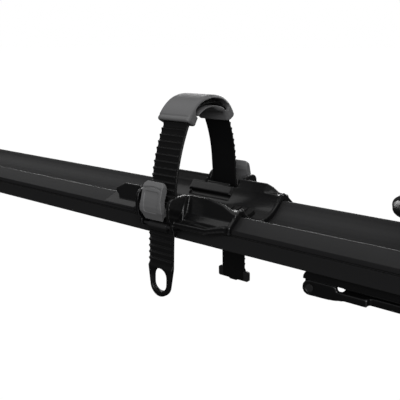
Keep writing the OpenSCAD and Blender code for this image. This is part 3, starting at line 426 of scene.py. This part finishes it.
def rounded_ring(half, low, high, radius):
    """Section of a swept piece: a rectangle with rounded corners, on both sides of 0."""
    radius = min(radius, (high - low) / 2 - 0.01, half - 0.01)
    return (arc((half - radius, high - radius), radius, 0, 90, 5)
            + arc((radius - half, high - radius), radius, 90, 180, 5)
            + arc((radius - half, low + radius), radius, 180, 270, 5)
            + arc((half - radius, low + radius), radius, 270, 360, 5))


# Rail, in mm: along X, and its section from the middle and the underside

RAIL_REAR, RAIL_FRONT, RAIL_FLOOR = -650, 800, 11
RAIL_HALF, FOOT_HALF, RIDGE_HALF = 46, 45, 32.4
RAIL_HIGH, CHAMFER_FOOT, WALL = 27, 18.5, 2.4
GROOVE_LOW, GROOVE_TOP, GROOVE_FLOOR = 13.4, 15, 44
GUTTER_DEPTH = 15.5
GUTTER_R = (RIDGE_HALF ** 2 + GUTTER_DEPTH ** 2) / (2 * GUTTER_DEPTH)
GUTTER_AXIS = RAIL_HIGH - GUTTER_DEPTH + GUTTER_R
SLOT_MOUTH, SLOT_HALF, SLOT_LIP, SLOT_TOP = 4.5, 8, 2.5, 7.4
PORT, PORT_R, BOSS_R = (30, 5.8), 1.9, 3.9
POCKET = SLOT_HALF + WALL


def rail_outline():
    """The rail's outer outline, with its side grooves, gutter and T-slot."""
    lean = (RAIL_HALF - FOOT_HALF) / CHAMFER_FOOT
    half = [(FOOT_HALF, 0, 0.9),
            (FOOT_HALF + lean * GROOVE_LOW, GROOVE_LOW, 0.3), (GROOVE_FLOOR, GROOVE_LOW, 0.25),
            (GROOVE_FLOOR, GROOVE_TOP, 0.25), (FOOT_HALF + lean * GROOVE_TOP, GROOVE_TOP, 0.3),
            (RAIL_HALF, CHAMFER_FOOT, 1.0), (RIDGE_HALF, RAIL_HIGH, 2.4)]
    reach = math.degrees(math.acos(RIDGE_HALF / GUTTER_R))
    gutter = [(a, b, 0) for a, b in arc((0, GUTTER_AXIS), GUTTER_R, -reach, reach - 180, 48)]
    slot = [(SLOT_MOUTH, 0, 0.3), (SLOT_MOUTH, SLOT_LIP, 0.2), (SLOT_HALF, SLOT_LIP, 0.3),
            (SLOT_HALF, SLOT_TOP, 0.5)]
    return filleted(half + gutter[3:-3] + [(-a, b, r) for a, b, r in reversed(half)]
                    + [(-a, b, r) for a, b, r in slot] + slot[::-1])


def rail_hollow():
    """Outline of the hollow beside the slot, which runs round the boss of the screw port."""
    boss = PORT[0]
    return filleted([(POCKET, WALL, 0.5), (boss - PORT_R, WALL, 0)]
                    + [(a, b, 0) for a, b in arc(PORT, BOSS_R, 240, -60, 12)]
                    + [(boss + PORT_R, WALL, 0), (FOOT_HALF - WALL, WALL, 0.5),
                       (43.1, GROOVE_LOW - WALL, 0.5),
                       (GROOVE_FLOOR - WALL, GROOVE_LOW - WALL, 0.5),
                       (GROOVE_FLOOR - WALL, GROOVE_TOP + WALL, 0.5),
                       (40, 19.2, 0.5), (33.3, 23.2, 0.3)]
                    + [(a, b, 0) for a, b in arc((0, GUTTER_AXIS), GUTTER_R + WALL,
                                                 -43.5, -76, 12)]
                    + [(POCKET, 10.4, 0.3)], 3)


def rail_loops():
    loops = [rail_outline()]
    for side in (1, -1):
        for loop in (rail_hollow(), arc(PORT, PORT_R, 0, 345, 23)):
            loops.append([(side * a, b) for a, b in loop])
    return loops


def extruded(loops, start, end, lift):
    """Prism along X in mm from an outline and the outlines of its hollows."""
    bm = bmesh.new()
    for loop in loops:
        ring = [bm.verts.new(Vector((start, a, b + lift)) * MM) for a, b in loop]
        for one, two in zip(ring, ring[1:] + ring[:1]):
            bm.edges.new((one, two))
    filled = bmesh.ops.triangle_fill(bm, use_beauty=True, edges=bm.edges[:])
    faces = [g for g in filled["geom"] if isinstance(g, bmesh.types.BMFace)]
    grown = bmesh.ops.extrude_face_region(bm, geom=faces, use_keep_orig=True)
    for part in grown["geom"]:
        if isinstance(part, bmesh.types.BMVert):
            part.co.x = end * MM
    return mesh_from(bm, "extrusion")


def make_rail():
    rail = place_piece("rail_extrusion", extruded(rail_loops(), RAIL_REAR, RAIL_FRONT, RAIL_FLOOR),
                       "carrier", "black_anodised", "rail")
    rail.modifiers.new("faces", "WEIGHTED_NORMAL")


# Strap, in mm: u is from the rail's middle towards a side, z from the ridges

STRAP_X, RIDGE_Z = -248, RAIL_FLOOR + RAIL_HIGH

# Each side starts near the crest at (u, z, heading in degrees). A route is a list of stretches:
# (radius, turn in degrees), or (0, length) where it is straight
NEAR_START, FAR_START = (4.5, 85.7, 0), (-4.5, 85.7, 0)
NEAR_ROUTE = [(42, -15), (26.3, -45), (150, -20), (70, -8), (0, 14), (80, 8), (0, 8), (60, -8),
              (0, 53)]
FAR_ROUTE = [(42, -15), (26.3, -45), (106, -24), (0, 24.2), (8, 52), (0, 7), (7, -50), (0, 10),
             (60, -6), (0, 74)]
STRAP_HALF, STRAP_T, TOOTH_H, PITCH = 13.5, 3.7, 1.9, 5.6
NEAR_TEETH, FAR_TEETH = 28, 35
NEAR_TIP, FAR_TIP = -78.6, -98
SOLE = -STRAP_T / 2
BACK = SOLE + STRAP_T - TOOTH_H
SIDES = ((NEAR_ROUTE, NEAR_START, -1, NEAR_TEETH, NEAR_TIP),
         (FAR_ROUTE, FAR_START, 1, FAR_TEETH, FAR_TIP))

# Sections along the band: their spacing, and how far and how close the fine ones at a tip go
STATION, FINE, FINE_RUN = 0.8, 0.2, 3.2

# The pull loop on the near tail: its end's radius, where it begins to narrow, and its hole
LOOP_R, LOOP_TOP, LOOP_FADE = 11, 26.6, 16.6
HOLE_LOW, HOLE_R, HOLE_HIGH = 4.6, 7.7, 21
NEAR_TAIL_Y = (-75, -40)

# The teeth, as shares of the pitch and in mm
TOOTH_FOOT, TOOTH_CREST, TOOTH_LEAN, TOOTH_W, TOOTH_EASE = 0.98, 0.12, -0.2, 25.2, 0.2
SUNK = 0.35


def stretch_length(stretch):
    radius, amount = stretch
    return amount if radius == 0 else radius * abs(math.radians(amount))


def on_route(route, start, s):
    """Place and heading (u, z, degrees) at a length s along a strap's route."""
    u, z, heading = start
    for i, (radius, amount) in enumerate(route):
        step = min(s, stretch_length((radius, amount))) if i < len(route) - 1 else s
        turn = math.radians(heading)
        if radius == 0:
            u, z = u + step * math.cos(turn), z + step * math.sin(turn)
        else:
            side = math.copysign(1, amount)
            swing = side * step / radius
            u += side * radius * (math.sin(turn + swing) - math.sin(turn))
            z -= side * radius * (math.cos(turn + swing) - math.cos(turn))
            heading += math.degrees(swing)
        s -= step
        if s <= 0:
            break
    return u, z, heading


def off_route(route, start, s, x, d, side):
    """Point in mm at a length s, x across the strap and d out from its middle line."""
    u, z, heading = on_route(route, start, s)
    turn = math.radians(heading)
    return (STRAP_X + x, side * (u - d * math.sin(turn)), RIDGE_Z + z + d * math.cos(turn))


def swept(route, start, side, stations, ring, name):
    """Closed band along a route; ring(s) gives its section (x, d) at each station."""
    bm = bmesh.new()
    bridge(bm, [[bm.verts.new(Vector(off_route(route, start, s, x, d, side)) * MM)
                 for x, d in ring(s)] for s in stations])
    return mesh_from(bm, name)


def strap_ring(half, sole, back):
    """Section of the strap's band with rounded borders."""
    low = [(half - 0.9, sole), (half - 0.45, sole + 0.05), (half - 0.12, sole + 0.3),
           (half, sole + 0.7)]
    top = [(half, back - 0.7), (half - 0.12, back - 0.3), (half - 0.45, back - 0.05),
           (half - 0.9, back)]
    right = low + top
    return right + [(0, back)] + [(-x, d) for x, d in reversed(right)] + [(0, sole)]


def wedge_tree():
    """Nodes that set a wedge, such as a strap's tooth, at each point."""
    tree = bpy.data.node_groups.new("wedges", "GeometryNodeTree")
    sockets = {}
    for label, kind in (("Geometry", "Geometry"), ("Foot", "Float"), ("Crest", "Float"),
                        ("Lean", "Float"), ("Height", "Float"), ("Width", "Float"),
                        ("Finish", "Material")):
        sockets[label] = tree.interface.new_socket(name=label, in_out="INPUT",
                                                   socket_type="NodeSocket" + kind).identifier
    tree.interface.new_socket(name="Geometry", in_out="OUTPUT", socket_type="NodeSocketGeometry")
    given = add(tree, "NodeGroupInput").outputs
    side = add(tree, "GeometryNodeCurvePrimitiveQuadrilateral", mode="TRAPEZOID")
    for label, source in (("Bottom Width", "Foot"), ("Top Width", "Crest"), ("Offset", "Lean"),
                          ("Height", "Height")):
        tree.links.new(given[source], side.inputs[label])
    sheet = add(tree, "GeometryNodeFillCurve", {"Curve": side.outputs[0]}, mode="NGONS")
    block = add(tree, "GeometryNodeExtrudeMesh", {"Mesh": sheet.outputs[0],
                                                  "Offset Scale": given["Width"],
                                                  "Individual": False})
    under = add(tree, "GeometryNodeFlipFaces", {"Mesh": sheet.outputs[0]})
    closed = add(tree, "GeometryNodeJoinGeometry")
    tree.links.new(block.outputs["Mesh"], closed.inputs[0])
    tree.links.new(under.outputs[0], closed.inputs[0])
    welded = add(tree, "GeometryNodeMergeByDistance", {"Geometry": closed.outputs[0],
                                                       "Distance": 1e-6})
    half = add(tree, "ShaderNodeMath", {0: given["Width"], 1: -0.5}, operation="MULTIPLY")
    shift = add(tree, "ShaderNodeCombineXYZ", {"X": half.outputs[0]})
    turned = add(tree, "GeometryNodeTransform", {"Geometry": welded.outputs[0],
                                                 "Translation": shift.outputs[0],
                                                 "Rotation": (math.pi / 2, 0, math.pi / 2)})
    turn = add(tree, "GeometryNodeInputNamedAttribute", {"Name": "turn"},
               data_type="FLOAT_VECTOR")
    placed = add(tree, "GeometryNodeInstanceOnPoints", {"Points": given["Geometry"],
                                                        "Instance": turned.outputs[0],
                                                        "Rotation": turn.outputs[0]})
    real = add(tree, "GeometryNodeRealizeInstances", {"Geometry": placed.outputs[0]})
    coated = add(tree, "GeometryNodeSetMaterial", {"Geometry": real.outputs[0],
                                                   "Material": given["Finish"]})
    add(tree, "NodeGroupOutput", {"Geometry": coated.outputs[0]})
    return tree, sockets


def repeated(build, points, turns, sizes, finish, ease_mm):
    """Mesh of a node tree's shape at each point in mm, turned by its angles, edges broken."""
    tree, sockets = build
    cloud = bpy.data.meshes.new("points")
    cloud.from_pydata([Vector(p) * MM for p in points], [], [])
    turn = cloud.attributes.new("turn", "FLOAT_VECTOR", "POINT")
    turn.data.foreach_set("vector", [v for t in turns for v in t])
    thing = new_object("points", cloud)
    step = thing.modifiers.new("shapes", "NODES")
    step.node_group = tree
    for label, size in sizes.items():
        step[sockets[label]] = size * MM
    step[sockets["Finish"]] = finish
    ease = thing.modifiers.new("ease", "BEVEL")
    ease.width, ease.segments, ease.limit_method = ease_mm * MM, 2, "ANGLE"
    return evaluated(thing)


def band_stations(route, start, tip):
    """Lengths at which the band has a section, closer together up to the tip of its tail."""
    full = sum(map(stretch_length, route))
    stations = [i * STATION for i in range(int(full / STATION))] + [full]
    for s in stations:
        past = tip + 0.1 - on_route(route, start, s)[1]
        if past > 0:
            end = s - past
            coarse = [t for t in stations if t < end - FINE_RUN - FINE]
            return coarse + [end - FINE_RUN + FINE * i for i in range(17)]
    return stations


def band_half(z, side, tip):
    """Half the band's width at a height: the near tail narrows to the round end of its loop."""
    if side > 0 or z >= tip + LOOP_TOP:
        return STRAP_HALF
    if z < tip + LOOP_R:
        return math.sqrt(max(1.44, LOOP_R ** 2 - (tip + LOOP_R - z) ** 2))
    return STRAP_HALF - (STRAP_HALF - LOOP_R) * min(1.0, (tip + LOOP_TOP - z) / LOOP_FADE)


def make_band(route, start, side, teeth, tip):
    """One side's band, thicker past its teeth."""
    def section(s):
        half = band_half(on_route(route, start, s)[1], side, tip)
        flush = min(1.0, max(0.0, (s - teeth * PITCH) / 3.0))
        return strap_ring(half, SOLE, BACK + TOOTH_H * flush)
    return swept(route, start, side, band_stations(route, start, tip), section, "strap_band")


def make_teeth(wedges, route, start, side, teeth):
    places = [(i + 0.52) * PITCH for i in range(teeth)]
    points = [off_route(route, start, s, 0, BACK + TOOTH_H / 2 - 0.1, side) for s in places]
    turns = [(math.radians(on_route(route, start, s)[2]), 0, 0 if side > 0 else math.pi)
             for s in places]
    sizes = {"Foot": TOOTH_FOOT * PITCH, "Crest": TOOTH_CREST * PITCH,
             "Lean": TOOTH_LEAN * PITCH, "Height": TOOTH_H + SUNK, "Width": TOOTH_W}
    return repeated(wedges, points, turns, sizes, FINISHES["strap_polymer"], TOOTH_EASE)


def stop_block():
    """Cross piece at the end of the far tail, which can't pass the buckle."""
    u, z, heading = on_route(FAR_ROUTE, FAR_START, sum(map(stretch_length, FAR_ROUTE)) - 6)
    low = RIDGE_Z + FAR_TIP
    half = STRAP_HALF + 4.5
    outline = filleted([(STRAP_X - half, low, 1.6), (STRAP_X - 5, low, 0.4),
                        (STRAP_X - 4, low - 1.2, 0.5), (STRAP_X + 4, low - 1.2, 0.5),
                        (STRAP_X + 5, low, 0.4), (STRAP_X + half, low, 1.6),
                        (STRAP_X + half, low + 10, 1.6), (STRAP_X - half, low + 10, 1.6)], 3)
    lean = math.cos(math.radians(heading))
    block = prism(outline, u - STRAP_T / 2, u + STRAP_T / 2, "y")
    for vertex in block.vertices:
        vertex.co.y -= (vertex.co.z - (z + RIDGE_Z) * MM) * lean
    return block


def make_strap():
    wedges = wedge_tree()
    bands = [make_band(*side) for side in SIDES]
    teeth = [make_teeth(wedges, *side[:4]) for side in SIDES]
    hole = prism(stadium(STRAP_X, RIDGE_Z + NEAR_TIP + HOLE_LOW, HOLE_R, HOLE_HIGH),
                 *NEAR_TAIL_Y, "y")
    mesh = joined([cut_from(bands[0], [hole]), teeth[0], bands[1], teeth[1], stop_block()])
    strap = place_piece("strap_band", mesh, "wheel_holder", "strap_polymer", "strap")
    strap.modifiers.new("faces", "WEIGHTED_NORMAL")


# Rim protector, in mm: a sleeve on the strap's crest, by the strap's own routes

SLEEVE_HALF, SLEEVE_CLEAR, SLEEVE_WALL = 17.25, 2.6, 3.0
SLEEVE_REACH, WINDOW = 35, 25
SLEEVE_STEPS = 70
END_ROUND = 1.6


def sleeve_part(route, start, side, first, last, ring):
    """Part of the sleeve, from one length along the route to another."""
    stations = [first + (last - first) * i / SLEEVE_STEPS for i in range(SLEEVE_STEPS + 1)]
    return swept(route, start, side, stations, ring, "sleeve")


def sleeve_shell(s, side):
    """Outer section: a flared end with a lip groove near, a tongue bulging inwards far."""
    end = max(0.0, (s - SLEEVE_REACH + END_ROUND) / END_ROUND)
    high = SLEEVE_CLEAR + SLEEVE_WALL - 1.3 * end ** 2
    low = -SLEEVE_CLEAR - SLEEVE_WALL + 1.0 * end ** 2
    if side < 0:
        high += 1.2 * max(0.0, (s - 20) / 15) ** 2
        high -= 0.55 * math.exp(-((s - SLEEVE_REACH + 3.8) / 0.55) ** 2)
    else:
        low -= 1.9 * math.sin(math.pi * min(1.0, s / WINDOW)) ** 2
    return rounded_ring(SLEEVE_HALF - 0.5 * end ** 2, low, high, 2.9)


def sleeve_window(s):
    """Section of the opening at the sides, which closes in a round end."""
    part = math.sqrt(max(0.02, 1 - max(0.0, (s - WINDOW + 4) / 4) ** 2))
    return rounded_ring(SLEEVE_HALF + 4, -(SLEEVE_CLEAR + 0.8) * part,
                        (SLEEVE_CLEAR + 0.2) * part, 0.3)


def sleeve_bore(s):
    """Section of the passage for the strap."""
    return rounded_ring(SLEEVE_HALF - SLEEVE_WALL, -SLEEVE_CLEAR, SLEEVE_CLEAR, 0.5)


def sleeve_slit(s):
    """Section of the slit that frees the tongue at the near side."""
    return rounded_ring(SLEEVE_HALF + 4, -SLEEVE_CLEAR - SLEEVE_WALL - 3, 0, 0.3)


def make_protector():
    shells, cutters = [], []
    for route, start, side, _, _ in SIDES:
        shells.append(sleeve_part(route, start, side, -0.4, SLEEVE_REACH,
                                  lambda s: sleeve_shell(s, side)))
        cutters.append(sleeve_part(route, start, side, -0.5, SLEEVE_REACH + 2, sleeve_bore))
        cutters.append(sleeve_part(route, start, side, -0.6, WINDOW, sleeve_window))
    cutters.append(sleeve_part(NEAR_ROUTE, NEAR_START, -1, WINDOW - 2.2, WINDOW + 1.2,
                               sleeve_slit))
    sleeve = joined([cut_from(mesh, cutters) for mesh in shells])
    moulded("rim_protector", 0.4, 5, piece="rim_protector_sleeve", base=sleeve)


# Wheel holder, in mm: x from the strap's middle, y from the rail's, z from the ridges

CHANNEL_R, CHANNEL_AXIS = 38.4, 26.1
WALL_MID, WALL_RIM = 37.9, 9.6
CHEEK_IN, CHEEK_OUT = 15.4, 18.6
HOOP_X = 66.2
SLOPE_FROM, SLOPE_IN, SLOPE_OUT = 29.0, 36.6, 37.8
SLOPE_RIM = WALL_RIM + 0.3
REAR_WALL_FROM = {-1: -37.5, 1: -19.5}


def on_side(side, points):
    """Points of the far side in the rail's frame, or mirrored to the near side (-1)."""
    return [(x + STRAP_X, side * y, z + RIDGE_Z) for x, y, z in points]


def across(side, outline):
    """Outline across the rail, (y, z) of the far side, as on_side puts points."""
    return [(side * y, z + RIDGE_Z) for y, z in outline]


def holder_rims(side):
    """Rounded rims: both walls, the box's two lower edges, its cheek and the hoop's leg."""
    if side < 0:
        front = [(19.5, WALL_RIM), (38, WALL_RIM), (53, 7.2), (61.5, 3.8), (64.8, 2.8)]
    else:
        front = [(19.5, WALL_RIM), (47, WALL_RIM), (53, 7.2), (58, 3.4), (62, 2.8)]
    rear = [(REAR_WALL_FROM[side], WALL_RIM), (-56.2, WALL_RIM), (-66.2, 4.4)]
    runs = [(1.5, [(x, WALL_MID, z) for x, z in front]),
            (1.5, [(x, WALL_MID, z) for x, z in rear]),
            (1.1, [(18, 59.2, -8.4), (46, 53.8, -10.3), (61.2, 48.8, -6.8)]),
            (0.95, [(18, 59.0, -11.4), (46, 54.3, -13.4), (61, 49.2, -10.5)]),
            (0.75, [(18.9, 44, 8.8), (19.4, 47.5, 1), (20.8, 50.6, -7.6)]),
            (1.7, [(HOOP_X, 34.6, 4.2), (HOOP_X, 48.9, -6.4), (HOOP_X, 49.3, -10.2)])]
    return [bead(on_side(side, run), radius) for radius, run in runs]


def wall_slope(side, rim):
    """Moulded slope that carries the skin's curve straight up to the rim (x, z) of a wall."""
    foot = CHANNEL_AXIS - math.sqrt(CHANNEL_R ** 2 - SLOPE_FROM ** 2)
    bm = bmesh.new()
    rings = []
    for x, top in rim:
        section = [(SLOPE_FROM - 0.4, foot - 0.6), (SLOPE_FROM, foot), (SLOPE_IN, top),
                   (SLOPE_OUT, top), (SLOPE_OUT, foot - 0.6)]
        rings.append([bm.verts.new(Vector(p) * MM)
                      for p in on_side(side, [(x, y, z) for y, z in section])])
    bridge(bm, rings)
    return mesh_from(bm, "wall_slope")


def wall_slopes(side):
    """Slopes of the wall before the strap and of the wall behind it."""
    if side < 0:
        front = [(19.5, SLOPE_RIM), (38, SLOPE_RIM), (53, 7.5), (57, 6.0)]
    else:
        front = [(18.5, SLOPE_RIM), (47, SLOPE_RIM), (53, 7.4), (56, 5.6)]
    rear = [(-56.0, SLOPE_RIM), (REAR_WALL_FROM[side], SLOPE_RIM)]
    return [wall_slope(side, front), wall_slope(side, rear)]


def pin_covers(side):
    """Covers in both cheeks over the ends of the lever's pin and the pawl's pin."""
    covers = []
    for y, z, radius in ((56.2, -2, 2.2), (57.2, -14, 2.0)):
        outline = across(side, arc((y, z), radius, 0, 345, 23))
        for first, last in ((CHEEK_IN, CHEEK_OUT), (-CHEEK_OUT, -CHEEK_IN)):
            covers.append(prism(outline, first + STRAP_X, last + STRAP_X, "x"))
    return covers


def foot_slot(side):
    """Slot in the skin beside the strap's foot."""
    outline = across(side, [(19.4, -4.6), (23.6, -0.9), (26.6, -4.6), (22.3, -8.4)])
    return prism(outline, STRAP_X - 30.5, STRAP_X + 16, "x")


def foot_ledge(side):
    """Ledge above that slot, with a round bar on its edge."""
    outline = across(side, [(24.3, -1.5), (30.4, 4.2), (33.2, 4.2), (33.4, 2.6), (26.2, -3.6)])
    return [prism(outline, STRAP_X - 33, STRAP_X + 14.5, "x"),
            bead(on_side(side, [(-16, 32.6, 5.2), (9.2, 32.6, 5.2)]), 0.9)]


def make_holder():
    adds, cuts = [], []
    for side in (-1, 1):
        adds += holder_rims(side) + wall_slopes(side) + pin_covers(side) + foot_ledge(side)
        cuts.append(foot_slot(side))
    hoop = arc((0, CHANNEL_AXIS), CHANNEL_R - 0.9, -35, -145, 40)
    adds.append(bead(on_side(1, [(HOOP_X, y, z) for y, z in hoop]), 1.3))
    moulded("holder_body", 0.62, 5, adds=adds, cuts=cuts)


def clear_bore(name, play_mm):
    """Round hole in mm round a pin that lies along X, wider than the pin by the play."""
    spots = [v.co / MM for v in merged_copy(name).vertices]
    low = [min(s[i] for s in spots) for i in range(3)]
    high = [max(s[i] for s in spots) for i in range(3)]
    centre = ((low[1] + high[1]) / 2, (low[2] + high[2]) / 2)
    return prism(arc(centre, (high[2] - low[2]) / 2 + play_mm, 0, 350, 35),
                 low[0] - 5, high[0] + 5, "x")


# The other mouldings, with their voxel in mm, which sets how sharp their edges stay

END_MOULDINGS = {"clamp_base": 0.8, "jaw": 0.8, "clamp_knob": 0.5, "end_cap": 0.6}
OTHER_MOULDINGS = {"wheel_cradle": 0.9, "holder_tread": 0.5, "ratchet_housing": 0.5,
                   "hub_cap": 0.4, "release_button": 0.3}


def make_mouldings():
    for side in ("near", "far"):
        moulded(side + "_lever", 0.32, 5, cuts=[clear_bore(side + "_lever_pin", 0.4)])
    for end in ("rear", "front"):
        for name, voxel in END_MOULDINGS.items():
            moulded(end + "_" + name, voxel)
    for name, voxel in OTHER_MOULDINGS.items():
        moulded(name, voxel)


# Build

make_rail()
make_strap()
make_protector()
make_holder()
make_mouldings()

point_camera()
light_world()
hang_lamps()
lay_floor()
bpy.context.scene.view_settings.view_transform = "Standard"
for name, thing in nodes.items():
    thing.data.materials.clear()
    thing.data.materials.append(FINISHES[slot_of_node[name]])
